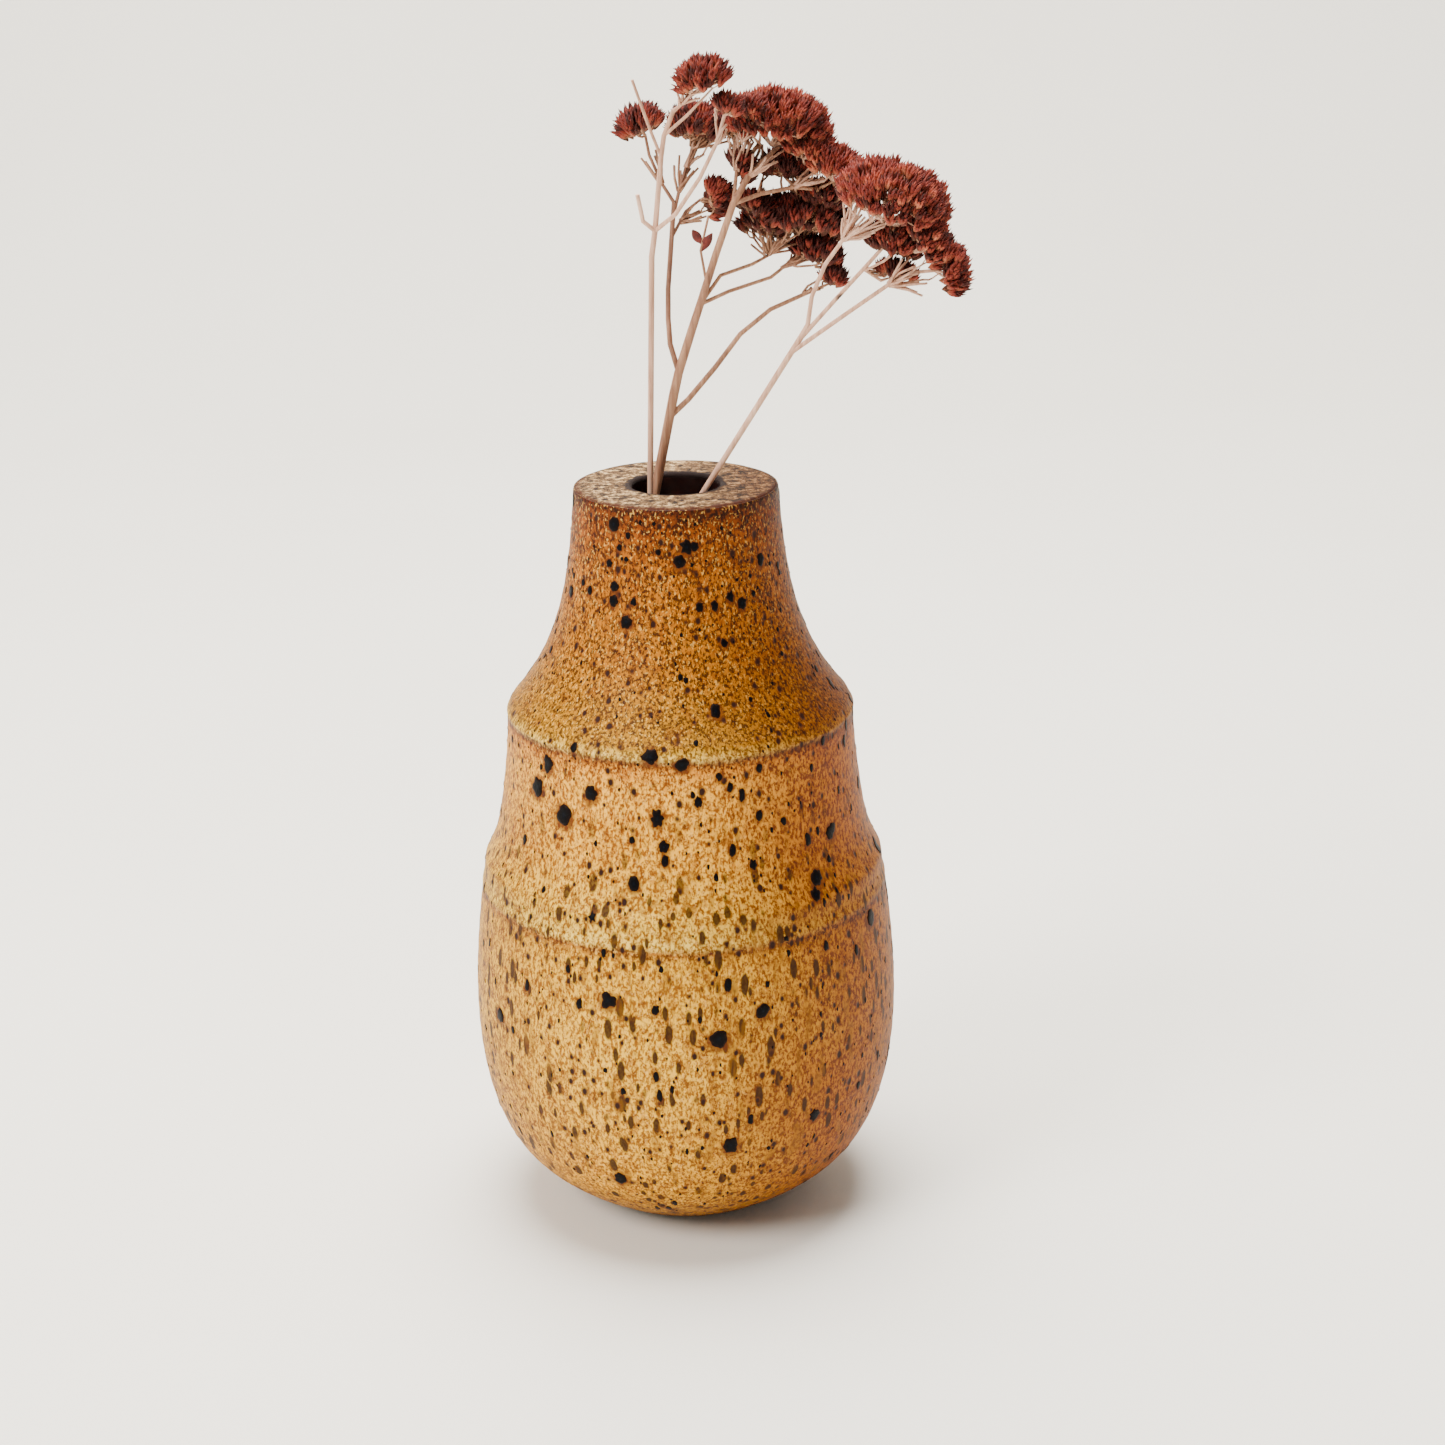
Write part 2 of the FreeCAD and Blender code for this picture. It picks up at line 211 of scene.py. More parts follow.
def speckled_glaze():
    """Satin ochre glaze: two tones mixed as fine grain, with drips, specks and halos round the iron spots."""
    s = Shader("speckled_glaze")
    wander = s.math("MULTIPLY", s.math("SUBTRACT", s.noise(90, 4), 0.5), 1.6 * MM)
    fine_wander = s.math("MULTIPLY", s.math("SUBTRACT", s.noise(800, 3), 0.5), 2.0 * MM)
    height = s.math("DIVIDE", s.math("ADD", s.z, s.math("ADD", wander, fine_wander)), RIM_Z)
    dark_grain = s.ramp(height, [
        (0.00, srgb(84, 42, 0)),
        (0.10, srgb(126, 74, 0)),
        (0.30, srgb(142, 86, 4)),
        (0.443, srgb(136, 80, 2)),
        (0.453, srgb(72, 32, 0)),
        (0.462, srgb(136, 88, 8)),
        (0.48, srgb(136, 84, 6)),
        (0.56, srgb(136, 76, 2)),
        (0.66, srgb(140, 76, 4)),
        (0.684, srgb(112, 54, 2)),
        (0.694, srgb(56, 18, 2)),
        (0.700, srgb(132, 92, 18)),
        (0.704, srgb(112, 74, 8)),
        (0.711, srgb(78, 46, 0)),
        (0.80, srgb(70, 34, 0)),
        (0.90, srgb(68, 30, 0)),
        (0.972, srgb(54, 20, 0)),
        (1.00, srgb(30, 10, 2)),
    ])
    pale_grain = s.ramp(height, [
        (0.00, srgb(176, 108, 6)),
        (0.10, srgb(222, 160, 30)),
        (0.30, srgb(242, 188, 54)),
        (0.443, srgb(234, 178, 44)),
        (0.453, srgb(164, 98, 22)),
        (0.462, srgb(242, 206, 92)),
        (0.48, srgb(234, 190, 64)),
        (0.56, srgb(240, 176, 46)),
        (0.66, srgb(252, 184, 54)),
        (0.684, srgb(228, 150, 36)),
        (0.694, srgb(118, 52, 14)),
        (0.700, srgb(238, 204, 104)),
        (0.704, srgb(216, 174, 64)),
        (0.711, srgb(172, 120, 12)),
        (0.80, srgb(176, 108, 8)),
        (0.90, srgb(178, 104, 8)),
        (0.972, srgb(146, 72, 6)),
        (1.00, srgb(70, 24, 8)),
    ])
    grain_space = s.stretched(z=0.6)
    grain = s.noise(1600, 3, 0.7, grain_space)
    glaze = s.mix(s.fade(grain, 0.42, 0.58), dark_grain, pale_grain)
    coarse = s.noise(480, 3, 0.6, grain_space)
    glaze = s.mix(s.math("MULTIPLY", s.fade(coarse, 0.50, 0.36), 0.5), glaze, srgb(156, 96, 26), "MULTIPLY")
    crumbs = s.noise(1900, 2, 0.6, grain_space)
    glaze = s.mix(s.math("MULTIPLY", s.fade(crumbs, 0.57, 0.66), 0.5), glaze, srgb(246, 192, 96))

    # Painted light and shade across the vase: the right side is darkened to a deeper ochre as painted shade, and
    # the left side, towards the window, is given a yellower tone as painted light
    painted_shade_right = s.fade(s.math("ADD", s.x, s.math("MULTIPLY", s.noise(26, 2), 30 * MM)), 8 * MM, 52 * MM)
    glaze = s.mix(s.math("MULTIPLY", painted_shade_right, 0.9), glaze, srgb(164, 112, 0), "MULTIPLY")
    painted_light_left = s.fade(s.x, -16 * MM, -46 * MM)
    glaze = s.mix(s.math("MULTIPLY", painted_light_left, 0.45), glaze, srgb(196, 176, 96), "MULTIPLY")

    # Olive-brown drips below the upper ridge, in short upright streaks
    drip_space = s.stretched(z=0.36)
    below_ridge = s.fade(s.z, 116 * MM, 80 * MM)
    drips = s.math("MULTIPLY", s.spots(380, 0.16, 0.44, 1.0, drip_space, 0.3), below_ridge)
    streaks = s.math("MULTIPLY", s.fade(s.noise(430, 2, 0.6, s.stretched(z=0.2)), 0.55, 0.68), below_ridge)
    glaze = s.mix(s.math("MULTIPLY", drips, 0.95), glaze, srgb(48, 22, 0))
    glaze = s.mix(s.math("MULTIPLY", streaks, 0.55), glaze, srgb(124, 76, 4))

    # Small brown specks everywhere, with amber rims, crowded along both ridges
    speck_space = s.stretched(z=0.7)
    amber_rims = s.math("MULTIPLY", s.spots(420, 0.22, 0.56, 0.75, speck_space, 1.0), 0.75)
    glaze = s.mix(amber_rims, glaze, srgb(104, 48, 0))
    specks = s.spots(420, 0.14, 0.38, 0.75, speck_space, 0.5)
    glaze = s.mix(specks, glaze, srgb(40, 16, 8))
    from_upper = s.math("ABSOLUTE", s.math("SUBTRACT", s.z, UPPER_RIDGE_Z - 1.2 * MM))
    from_lower = s.math("ABSOLUTE", s.math("SUBTRACT", s.z, LOWER_RIDGE_Z - 0.8 * MM))
    on_ridges = s.math("ADD", s.fade(from_upper, 2.2 * MM, 0.4 * MM), s.fade(from_lower, 2.2 * MM, 0.4 * MM))
    ridge_specks = s.math("MULTIPLY", s.spots(480, 0.16, 0.46, 0.6, None, 0.6), on_ridges)
    glaze = s.mix(s.math("MULTIPLY", ridge_specks, 0.8), glaze, srgb(74, 30, 12))

    halo = s.attribute("halo")
    halo = s.math("MULTIPLY", halo, s.fade(s.math("ADD", halo, s.noise(900, 2)), 0.55, 1.0))
    glaze = s.mix(s.math("MULTIPLY", halo, 0.9), glaze, srgb(92, 42, 8))

    rough = s.math("ADD", s.math("MULTIPLY", grain, 0.25), 0.42)
    height_map = s.math("ADD", s.noise(620, 4, 0.6), s.math("MULTIPLY", specks, -0.8))
    return s.finish(glaze, rough, height_map, 0.12, Specular_IOR_Level=0.10)


def iron_spot_material():
    """Dark iron melted out of the clay: brown at the edge, nearly black with a painted blue sheen in the middle.
    """
    s = Shader("iron_spot")
    middle = s.attribute("middle")
    grain = s.math("MULTIPLY", s.math("SUBTRACT", s.noise(1500, 3), 0.5), 0.5)
    colour = s.ramp(s.math("ADD", middle, grain), [
        (0.00, srgb(30, 11, 4)),
        (0.25, srgb(10, 4, 4)),
        (0.65, srgb(3, 2, 4)),
        # The bluish middle is a painted sheen
        (1.00, srgb(6, 9, 18)),
    ])
    rough = s.math("SUBTRACT", 0.55, s.math("MULTIPLY", middle, 0.15))
    return s.finish(colour, rough, s.noise(2200, 3), 0.08, Specular_IOR_Level=0.06)


def stoneware():
    """Bare speckled clay at the rim and foot, with the liner glaze soaked into the mouth's edge."""
    s = Shader("stoneware")
    grain = s.noise(620, 5, 0.85)
    clay = s.ramp(grain, [
        (0.42, srgb(20, 10, 4)),
        (0.47, srgb(84, 58, 32)),
        (0.53, srgb(132, 98, 60)),
        (0.60, srgb(206, 174, 126)),
    ])
    # Painted shade: the bare clay is darkened and browned towards the right side
    shaded_right_clay = s.math("MULTIPLY", s.fade(s.x, -4 * MM, 20 * MM), 0.75)
    clay = s.mix(shaded_right_clay, clay, srgb(168, 116, 66), "MULTIPLY")
    clay = s.mix(s.math("MULTIPLY", s.fade(s.noise(330, 3), 0.54, 0.64), 0.4), clay, srgb(96, 66, 36))
    clay = s.mix(s.spots(420, 0.18, 0.42, 0.8, None, 0.4), clay, srgb(26, 12, 5))
    square = s.math("ADD", s.math("MULTIPLY", s.x, s.x), s.math("MULTIPLY", s.y, s.y))
    from_axis = s.math("SQRT", square)
    ragged = s.math("ADD", from_axis, s.math("MULTIPLY", s.math("SUBTRACT", s.noise(380, 3), 0.5), 3.0 * MM))
    clay = s.mix(s.fade(ragged, 11.3 * MM, 10.5 * MM), clay, srgb(26, 9, 6))
    edge = s.math("MULTIPLY", s.fade(ragged, 20.2 * MM, 21.4 * MM), s.fade(s.z, 150 * MM, 160 * MM))
    clay = s.mix(s.math("MULTIPLY", edge, 0.85), clay, srgb(66, 28, 14))
    rough = s.math("ADD", s.math("MULTIPLY", grain, 0.15), 0.78)
    return s.finish(clay, rough, grain, 0.22, Specular_IOR_Level=0.25)


def liner():
    """Dark red-brown glaze inside the vase."""
    s = Shader("liner_glaze")
    colour = s.ramp(s.noise(260, 4), [(0.3, srgb(9, 3, 3)), (0.55, srgb(30, 9, 7)), (0.8, srgb(58, 18, 12))])
    return s.finish(colour, s.math("ADD", s.math("MULTIPLY", s.noise(500), 0.25), 0.22), s.noise(400), 0.1)


def dry_stalk(name, pale, mid, dark):
    """Dried stalk: long fibres, darker scars and a dull skin."""
    s = Shader(name)
    fibres = s.noise(1300, 4, 0.65, s.stretched(z=0.05))
    patches = s.noise(70, 3, 0.5)
    colour = s.ramp(s.math("ADD", s.math("MULTIPLY", fibres, 0.6), s.math("MULTIPLY", patches, 0.4)),
                    [(0.30, dark), (0.48, mid), (0.66, pale)])
    colour = s.mix(s.spots(170, 0.08, 0.26, 0.16, None, 0.6), colour, srgb(66, 38, 28))
    return s.finish(colour, s.math("ADD", s.math("MULTIPLY", fibres, 0.2), 0.6), fibres, 0.12)


def dry_follicle():
    """Rust-brown seed cases: tan at the base, red-brown along the side and dark at the tip."""
    s = Shader("dry_follicle")
    along, tint_and_shade = s.attribute("along"), s.attribute("tint_and_shade")
    # Lit, middling and shaded copies of one colour, as painted light and shade, mixed by each flower's random tint
    # with its painted shade
    middling = s.ramp(along, [(0.0, srgb(132, 88, 60)), (0.3, srgb(158, 78, 54)), (0.65, srgb(136, 50, 38)),
                              (1.0, srgb(70, 20, 18))])
    lit_follicle = s.ramp(along, [(0.0, srgb(176, 126, 88)), (0.45, srgb(208, 126, 92)), (0.75, srgb(178, 80, 58)),
                            (1.0, srgb(104, 34, 28))])
    shaded = s.ramp(along, [(0.0, srgb(86, 56, 40)), (0.5, srgb(80, 32, 24)), (1.0, srgb(38, 12, 12))])
    colour = s.mix(s.fade(tint_and_shade, 0.50, 0.95), middling, lit_follicle)
    colour = s.mix(s.fade(tint_and_shade, 0.36, 0.05), colour, shaded)
    grain = s.noise(2600, 3, 0.6)
    colour = s.mix(s.math("MULTIPLY", s.fade(grain, 0.52, 0.38), 0.5), colour, srgb(50, 18, 14))
    return s.finish(colour, 0.75, grain, 0.08, Specular_IOR_Level=0.25)


def dry_leaf():
    """Shrivelled dark red leaf."""
    s = Shader("dry_leaf")
    colour = s.ramp(s.noise(900, 4), [
        (0.3, srgb(58, 18, 16)),
        (0.6, srgb(112, 34, 26)),
        (0.8, srgb(150, 78, 50)),
    ])
    return s.finish(colour, 0.7, s.noise(1200), 0.15)


# ---------------------------------------------------------------- the vase

# The glaze coat's mesh: corners round each ring, rings outside and inside, about how thick the coat is, and in how
# many bands of height the CAD coat's outline is read
COAT_TURNS = 320
COAT_RINGS = 262
INNER_RINGS = 30
COAT_THICKNESS = 0.36 * MM
OUTLINE_BANDS = 420


def outer_outline():
    """Heights and outside radii of the glazed wall, read from the outward-facing corners of the CAD coat."""
    corners = nodes["outer_glaze"].data.vertices
    points = np.array([v.co[:] for v in corners])
    normals = np.array([v.normal[:] for v in corners])
    radius = np.hypot(points[:, 0], points[:, 1])
    outward = (points[:, :2] * normals[:, :2]).sum(1) > 0
    points, radius = points[outward], radius[outward]
    edges = np.linspace(points[:, 2].min(), points[:, 2].max(), OUTLINE_BANDS)
    heights, radii = [], []
    for bottom, top in zip(edges[:-1], edges[1:]):
        here = (points[:, 2] >= bottom) & (points[:, 2] <= top)
        if here.any():
            widest = np.argmax(np.where(here, radius, 0))
            heights.append(points[widest, 2])
            radii.append(radius[widest])
    order = np.argsort(heights)
    return np.array(heights)[order], np.array(radii)[order]


def ring_heights(low, high, count):
    """Heights for the mesh's rings, closer together at the ridges and the rim."""
    z = np.linspace(low, high, 4000)
    density = 1 + 3.2 * bump_at(z, UPPER_RIDGE_Z, 3 * MM) + 1.6 * bump_at(z, LOWER_RIDGE_Z, 4 * MM)
    density += 3.0 * bump_at(z, RIM_Z, 2 * MM)
    share = np.cumsum(density)
    return np.interp(np.linspace(share[0], share[-1], count), share, z)


# The larger iron spots at the front: degrees round from the front, height in mm, radius in mm
LARGE_SPOTS = [
    (-35, 161, 1.4), (6, 157, 1.3), (2, 154, 1.2), (10, 157, 0.9), (-33, 148, 1.0), (-33, 145, 1.1),
    (-25, 141, 1.3), (-68, 144, 1.2), (34, 144, 1.1), (50, 152, 1.1), (14, 124, 1.2), (-9, 116.2, 1.5),
    (1, 114.6, 1.4), (-47, 111, 1.5), (-52, 105, 1.8), (-39, 101, 2.1), (-29, 107, 1.4), (-7, 103, 1.4),
    (-5, 97, 1.1), (-14, 89, 1.3), (53, 94, 1.6), (43, 86, 1.6), (41, 83, 1.2), (-20, 64, 1.7), (9, 56, 1.9),
    (21, 61, 1.5), (64, 72, 1.8), (-59, 52, 1.5), (12, 30, 1.7), (-20, 20, 1.4), (37, 33, 1.3),
]
# All spots, with the larger ones
SPOT_COUNT = 1050
# The vase's rough radius, which turns an angle between spots into a distance, and the share of the spots kept
# where they would lie on another
MEAN_RADIUS = 40 * MM
CROWDED_SHARE = 0.06


def spot_list():
    """Every iron spot as angle, height, radius and how far it is drawn out downwards."""
    rng = random.Random(11)
    spots = [(math.radians(angle), z * MM, r * MM, rng.uniform(1.0, 1.25)) for angle, z, r in LARGE_SPOTS]
    front_half = math.radians(75)
    while len(spots) < SPOT_COUNT:
        angle = rng.uniform(-math.pi, math.pi)
        z = rng.uniform(7, 163) * MM
        size = 0.22 + 0.62 * rng.random() ** 3.6
        if abs(angle) > front_half:
            size += 0.8 * rng.random() ** 5
        stretch = rng.uniform(1.0, 1.35) if z > UPPER_RIDGE_Z else rng.uniform(1.2, 2.1)
        radius = size * MM
        near = any(
            abs(angle - a) * MEAN_RADIUS < r + radius and abs(z - h) < r + radius
            for a, h, r, _ in spots
        )
        if not near or rng.random() < CROWDED_SHARE:
            spots.append((angle, z, radius, stretch))
    return spots


def relief(angle, z):
    """How far the glaze stands out from the CAD outline: throwing lines, ridges and an uneven turn."""
    uneven, ripple, lip = noise_wave(3, 4, 1, 3), noise_wave(5, 6, 4, 19), noise_wave(8, 8, 3, 31)
    away_from_rim = 1 - bump_at(z, RIM_Z, 2.5 * MM)
    out = 0.05 * uneven(angle + 14 * z) * away_from_rim
    out = out + 0.03 * np.sin(z / MM * 1.35 + 1.5 * uneven(angle)) * away_from_rim
    out = out + (0.16 + 0.05 * lip(angle)) * bump_at(z, UPPER_RIDGE_Z - 0.2 * MM, 0.7 * MM)
    out = out - (0.12 + 0.04 * ripple(angle)) * bump_at(z, UPPER_RIDGE_Z + 2.6 * MM, 1.0 * MM)
    out = out + (0.13 + 0.04 * ripple(angle)) * bump_at(z, LOWER_RIDGE_Z, 0.8 * MM)
    out = out - 0.06 * bump_at(z, LOWER_RIDGE_Z + 2.4 * MM, 1.5 * MM)
    return out * MM


def place(angle, z, radius):
    """A point on the vase. Angle 0 faces the front and positive angles turn to the right."""
    return np.stack([radius * np.sin(angle), -radius * np.cos(angle), z + 0 * radius], axis=-1)


def glaze_coat(material, spots):
    """The outer glaze as one closed coat: rings up the outside with relief, then down the plain inside."""
    heights, radii = outer_outline()
    turns, rings = COAT_TURNS, COAT_RINGS
    z = ring_heights(heights[0], heights[-1], rings)
    angle = np.linspace(-math.pi, math.pi, turns, endpoint=False)
    angles, levels = np.meshgrid(angle, z)
    outside_r = np.interp(levels, heights, radii) + relief(angles, levels)
    halo = np.zeros_like(angles)
    for spot_angle, spot_z, spot_r, stretch in spots:
        across = (np.mod(angles - spot_angle + math.pi, math.tau) - math.pi) * outside_r
        reach = np.hypot(across, (levels - spot_z + 0.25 * spot_r) / stretch) / spot_r
        near = np.clip(1.9 - reach, 0, 1) if spot_r > 0.6 * MM else np.clip(1.6 - reach, 0, 1) * 0.6
        halo = np.maximum(halo, near)
    outside = place(angles, levels, outside_r)
    inner_z = np.linspace(heights[-1], heights[0], INNER_RINGS)
    inner_angles, inner_levels = np.meshgrid(angle, inner_z)
    inner_r = np.interp(inner_levels, heights, radii) - COAT_THICKNESS
    inside = place(inner_angles, inner_levels, inner_r)
    grid = np.concatenate([outside, inside])
    total = rings + INNER_RINGS
    faces = []
    for i in range(total):
        here, above = i * turns, ((i + 1) % total) * turns
        for j in range(turns):
            k = (j + 1) % turns
            faces.append((here + j, here + k, above + k, above + j))
    coat = mesh_object("glaze_coat", grid.reshape(-1, 3), faces, material)
    float_attribute(coat, "halo", np.concatenate([halo, np.zeros_like(inner_angles)]).ravel())
    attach(coat, "vase")
    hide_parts("outer_glaze")


def iron_spots(material, spots):
    """Each spot is a low blister with an uneven edge, closed underneath and sunk into the glaze."""
    heights, radii = outer_outline()
    rng = random.Random(29)
    vertices, faces, middle = [], [], []
    for spot_angle, spot_z, spot_r, stretch in spots:
        corners = 18 if spot_r > 0.8 * MM else 10
        edge = noise_wave(rng.randint(0, 10 ** 6), 5, 2, 7)
        roughness = rng.uniform(0.22, 0.50)
        rise = 0.06 + 0.05 * spot_r / MM
        start = len(vertices)
        for share, lift in ((1.0, -0.10), (1.0, 0.015), (0.72, 0.8 * rise), (0.35, rise), (0.0, 1.05 * rise)):
            for c in range(corners if share else 1):
                turn = math.tau * c / corners
                reach = spot_r * share * (1 + roughness * edge(turn))
                z = min(spot_z + reach * stretch * math.sin(turn), heights[-1] - 0.4 * MM)
                base = np.interp(z, heights, radii)
                angle = spot_angle + reach * math.cos(turn) / base
                radius = base + relief(np.array(angle), np.array(z)) + lift * MM + 0.03 * MM
                vertices.append(place(angle, z, radius))
                middle.append(1 - share)
        for ring in range(3):
            first = start + ring * corners
            for c in range(corners):
                d = (c + 1) % corners
                faces.append((first + c, first + d, first + corners + d, first + corners + c))
        top = start + 3 * corners
        for c in range(corners):
            faces.append((top + c, top + (c + 1) % corners, start + 4 * corners))
        faces.append(tuple(start + c for c in reversed(range(corners))))
    blisters = mesh_object("iron_spots", vertices, faces, material)
    float_attribute(blisters, "middle", middle)
    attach(blisters, "vase")


# ---------------------------------------------------------------- the dried flowers

def tube(points, start_r, end_r, sides, vertices, faces, extra):
    """Adds a thin closed tube through the points. extra collects how far along each corner is."""
    points = [Vector(p) for p in points]
    start, last = len(vertices), len(points) - 1
    side = None
    for i, point in enumerate(points):
        direction = (points[min(i + 1, last)] - points[max(i - 1, 0)]).normalized()
        if side is None:
            side = direction.orthogonal().normalized()
        side = (side - direction * side.dot(direction)).normalized()
        other = direction.cross(side)
        radius = start_r + (end_r - start_r) * i / last
        for c in range(sides):
            turn = math.tau * c / sides
            vertices.append(point + (side * math.cos(turn) + other * math.sin(turn)) * radius)
            extra.append(i / last)
    for i in range(last):
        for c in range(sides):
            d = (c + 1) % sides
            a, b = start + i * sides, start + (i + 1) * sides
            faces.append((a + c, a + d, b + d, b + c))
    faces.append(tuple(start + c for c in reversed(range(sides))))
    faces.append(tuple(start + last * sides + c for c in range(sides)))


def follicle(root, direction, length, width, vertices, faces, along):
    """One seed case: a spindle that swells low down and draws out to a curved point."""
    side = direction.orthogonal().normalized()
    other = direction.cross(side)
    start, sides = len(vertices), 5
    rings = ((0.0, 0.35), (0.25, 0.95), (0.50, 1.0), (0.76, 0.5))
    for share, swell in rings:
        centre = root + direction * length * share
        for c in range(sides):
            turn = math.tau * c / sides
            vertices.append(centre + (side * math.cos(turn) + other * math.sin(turn)) * width * 0.5 * swell)
            along.append(share)
    vertices.append(root + direction * length + side * width * 0.35)
    along.append(1.0)
    for ring in range(len(rings) - 1):
        first = start + ring * sides
        for c in range(sides):
            d = (c + 1) % sides
            faces.append((first + c, first + d, first + sides + d, first + sides + c))
    top = start + (len(rings) - 1) * sides
    for c in range(sides):
        faces.append((top + c, top + (c + 1) % sides, start + len(rings) * sides))
    faces.append(tuple(start + c for c in reversed(range(sides))))


def head_frame(name):
    """A CAD head's base, axis, widest centre, radius and dome height. Its flat base is its largest plane."""
    mesh = nodes[name].data
    planes = {}
    for face in mesh.polygons:
        key = tuple(round(n, 2) for n in face.normal)
        planes.setdefault(key, []).append(face)
    flat = max(planes.values(), key=lambda faces: sum(face.area for face in faces))
    axis = -sum((face.normal * face.area for face in flat), Vector()).normalized()
    base = sum((face.center * face.area for face in flat), Vector()) / sum(face.area for face in flat)
    offsets = node_points(name) - np.array(base)
    level = offsets @ np.array(axis)
    radial = np.linalg.norm(offsets - np.outer(level, axis), axis=1)
    widest = float(level[np.argmax(radial)])
    return base, axis, base + axis * widest, float(radial.max()), float(level.max()) - widest


# Each flower head's twigs, its body, and how shaded it is, from 0 for the bright heads to 1 for the darkest
HEADS = {
    "left_top_head": (["left_stalk", "left_top_fork"], "left_stem", 0.15),
    "left_side_head": (["left_side_branch"], "left_stem", 0.30),
    "dark_left_head": (["dark_left_twig"], "middle_stem", 0.55),
    "dark_right_head": (["dark_right_twig"], "middle_stem", 0.50),
    "dark_low_head": (["dark_low_twig"], "middle_stem", 0.60),
    "middle_top_head": (["middle_stalk", "middle_left_twig"], "middle_stem", 0.0),
    "middle_side_head": (["middle_right_twig"], "middle_stem", 0.10),
    "far_head": (["inner_branch", "lower_branch"], "middle_stem", 0.80),
    "far_small_head": (["far_branch"], "middle_stem", 0.60),
    "right_top_head": (["right_upright_branch", "right_middle_branch"], "right_stem", 0.0),
    "right_side_head": (["right_low_branch"], "right_stem", 0.10),
    "right_under_head": (["right_short_twig"], "right_stem", 0.55),
}

# Smaller clusters in the gaps between heads, each on the stem of the first head that it names: the two heads,
# the share of the way from the first to the second, size, twig, shade
JOINING_CLUSTERS = {
    "upper_cluster": ("middle_top_head", "middle_side_head", 0.55, 0.62, "middle_right_twig", 0.05),
    "low_upper_cluster": ("middle_top_head", "far_head", 0.42, 0.58, "middle_right_twig", 0.60),
    "behind_upper_cluster": ("middle_side_head", "far_head", 0.50, 0.85, "middle_right_twig", 0.70),
    "left_inner_cluster": ("middle_top_head", "dark_low_head", 0.55, 0.42, "middle_left_twig", 0.60),
    "link_cluster": ("dark_right_head", "middle_top_head", 0.22, 0.70, "dark_right_twig", 0.35),
    "top_link_cluster": ("middle_top_head", "left_top_head", 0.36, 0.36, "middle_left_twig", 0.15),
    "inner_dark_cluster": ("far_head", "dark_low_head", 0.45, 0.60, "inner_branch", 0.75),
    "outer_dark_cluster": ("far_head", "far_small_head", 0.55, 0.55, "lower_branch", 0.75),
    "left_dark_cluster": ("dark_right_head", "middle_top_head", 0.50, 0.85, "dark_right_twig", 0.45),
    "right_edge_cluster": ("right_top_head", "right_side_head", 0.60, 0.62, "right_low_branch", 0.10),
    "right_low_cluster": ("right_top_head", "right_under_head", 0.60, 0.60, "right_middle_branch", 0.50),
}
FLOWER_GAP = 1.5 * MM
LAYER_DEPTH = 2.4 * MM
FAN_START = (6 * MM, 20 * MM)
# Heads with a larger radius than this are widened sideways
LARGE_HEAD_R = 9 * MM
SIDEWAYS = 1.12
# The angle in radians that spreads flowers evenly over a dome
GOLDEN_TURN = 2.39996


def between_heads(first, second, share, size):
    """The frame of a cluster between two heads, in the form that head_frame gives."""
    base_a, axis_a, centre_a, radius, dome = head_frame(first)
    base_b, axis_b, centre_b, _, _ = head_frame(second)
    axis = axis_a.lerp(axis_b, share).normalized()
    return base_a.lerp(base_b, share), axis, centre_a.lerp(centre_b, share), radius * size, dome * size


def flower_places(head, seed):
    """Where each flower ends, which way it points, and how deep it lies, over the dome of one head."""
    rng = random.Random(seed)
    base, axis, centre, radius, dome = head
    side = axis.orthogonal().normalized()
    other = axis.cross(side)
    stretch = SIDEWAYS if radius > LARGE_HEAD_R else 1.0
    flowers = []
    for depth, share in ((0.0, 1.0), (1.0, 0.45)):
        count = max(8, int(share * math.tau * radius * dome / FLOWER_GAP ** 2))
        shrink = 1 - depth * LAYER_DEPTH / radius
        for i in range(count):
            level = 1 - 1.12 * (i + 0.5) / count
            ring = math.sqrt(max(0.0, 1 - max(level, 0) ** 2))
            turn = GOLDEN_TURN * i + rng.uniform(-0.25, 0.25)
            lump = (1 + 0.06 * math.sin(3 * turn + seed) + rng.uniform(-0.12, 0.03)) * shrink
            out = (side * math.cos(turn) + other * math.sin(turn)) * ring
            spread = Vector((out.x * stretch, out.y, out.z))
            tip = centre + spread * radius * lump + axis * dome * level * lump
            points = (out * 0.75 + axis * (0.4 + 0.5 * level) + Vector((0, 0, 0.55))).normalized()
            flowers.append((tip, points, depth, level))
    return flowers


def fan_of_stalks(starts, flowers, rng, vertices, faces, along):
    """Fine stalks that fork twice on their way from the twig to every flower."""
    def nearest(places, point, pull, jitter):
        return min(places, key=lambda place: (place - point).length * pull + rng.uniform(0, jitter))

    def fork_points(sources, count, pull, share, sag, start_r, end_r):
        forks = []
        for i in range(count):
            target = flowers[int((i + 0.5) * len(flowers) / count)][0]
            source = nearest(sources, target, pull, 5 * MM)
            fork = source.lerp(target, share + rng.uniform(-0.10, 0.10)) - Vector((0, 0, sag))
            bend = source.lerp(fork, 0.5) + Vector([rng.uniform(-0.5, 0.5) * MM for _ in range(3)])
            tube([source, bend, fork], start_r, end_r, 5, vertices, faces, along)
            forks.append(fork)
        return forks

    forks = fork_points(starts, max(7, len(flowers) // 9), 0.3, 0.48, 1.4 * MM, 0.30 * MM, 0.25 * MM)
    fine_forks = fork_points(forks, max(9, len(flowers) // 4), 1.0, 0.42, 0.6 * MM, 0.24 * MM, 0.19 * MM)
    for tip, points, _, _ in flowers:
        root = tip - points * 3.4 * MM
        source = nearest(fine_forks, root, 1.0, 0.5 * MM)
        bend = source.lerp(root, 0.55) + Vector([rng.uniform(-0.3, 0.3) * MM for _ in range(3)])
        tube([source, bend, root + points * 0.6 * MM], 0.18 * MM, 0.15 * MM, 4, vertices, faces, along)


